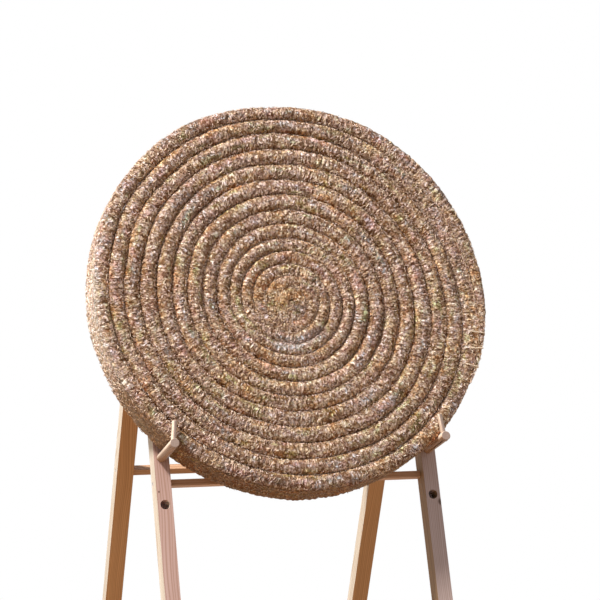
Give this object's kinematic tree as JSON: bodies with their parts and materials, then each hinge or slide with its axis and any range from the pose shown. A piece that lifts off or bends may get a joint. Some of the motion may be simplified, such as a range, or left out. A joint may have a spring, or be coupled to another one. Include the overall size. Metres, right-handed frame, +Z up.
{
  "type": "archery target boss",
  "caption": "Round straw-rope archery boss, coiled and stitched, on a folding timber stand; dowel pegs carry its rim and dowel stops keep it on the pegs.",
  "frame": {"origin": "on the ground, in the middle of the open stand's footprint", "axes": "+Z up; the archer stands at -Y and looks along +Y; +X is the archer's right"},
  "size_m": [0.8061, 1.0792, 1.6762],
  "materials": {
    "straw": "dry straw rope, matte, mixed cream, ochre and grey-brown stalks",
    "twine": "pale sisal twine, matte",
    "pine": "stained softwood battens, satin, with grain along the length",
    "dowel": "turned dowel, lightly oiled",
    "steel": "zinc-plated hinge and screws"
  },
  "bodies": {
    "front_frame": {"front_leg_left": "pine", "front_leg_right": "pine", "front_lower_rail": "pine", "front_upper_rail": "pine", "hinge_left_front_leaf": "steel", "hinge_left_pin": "steel", "hinge_left_front_screw_1": "steel", "hinge_left_front_screw_2": "steel", "hinge_right_front_leaf": "steel", "hinge_right_pin": "steel", "hinge_right_front_screw_1": "steel", "hinge_right_front_screw_2": "steel", "front_lower_screw_left": "steel", "front_lower_screw_right": "steel", "front_upper_screw_left": "steel", "front_upper_screw_right": "steel"},
    "rear_frame": {"rear_leg_left": "pine", "rear_leg_right": "pine", "rear_lower_rail": "pine", "rear_upper_rail": "pine", "hinge_left_rear_leaf": "steel", "hinge_left_rear_screw_1": "steel", "hinge_left_rear_screw_2": "steel", "hinge_right_rear_leaf": "steel", "hinge_right_rear_screw_1": "steel", "hinge_right_rear_screw_2": "steel", "rear_lower_screw_left": "steel", "rear_lower_screw_right": "steel", "rear_upper_screw_left": "steel", "rear_upper_screw_right": "steel"},
    "boss": {"straw_rope": "straw", "tail_stitch_1": "twine", "tail_stitch_2": "twine", "tail_stitch_3": "twine"},
    "left_peg": {"left_peg": "dowel", "left_stop": "dowel"},
    "right_peg": {"right_peg": "dowel", "right_stop": "dowel"}
  },
  "joints": [
    {"name": "rear_fold", "type": "hinge", "parent": "front_frame", "child": "rear_frame", "pos_m": [0, -0.0372, 1.27356], "axis": [1, 0, 0], "range_deg": [-42.76, 0]},
    {"name": "boss_lift", "type": "slide", "parent": "front_frame", "child": "boss", "axis": [0, 0.3387, 0.9409], "range_m": [0, 0.12]},
    {"name": "left_peg_turn", "type": "hinge", "parent": "front_frame", "child": "left_peg", "pos_m": [-0.2729, -0.18649, 0.98079], "axis": [0, -0.9409, 0.3387], "continuous": true},
    {"name": "right_peg_turn", "type": "hinge", "parent": "front_frame", "child": "right_peg", "pos_m": [0.2729, -0.18649, 0.98079], "axis": [0, -0.9409, 0.3387], "continuous": true}
  ]
}
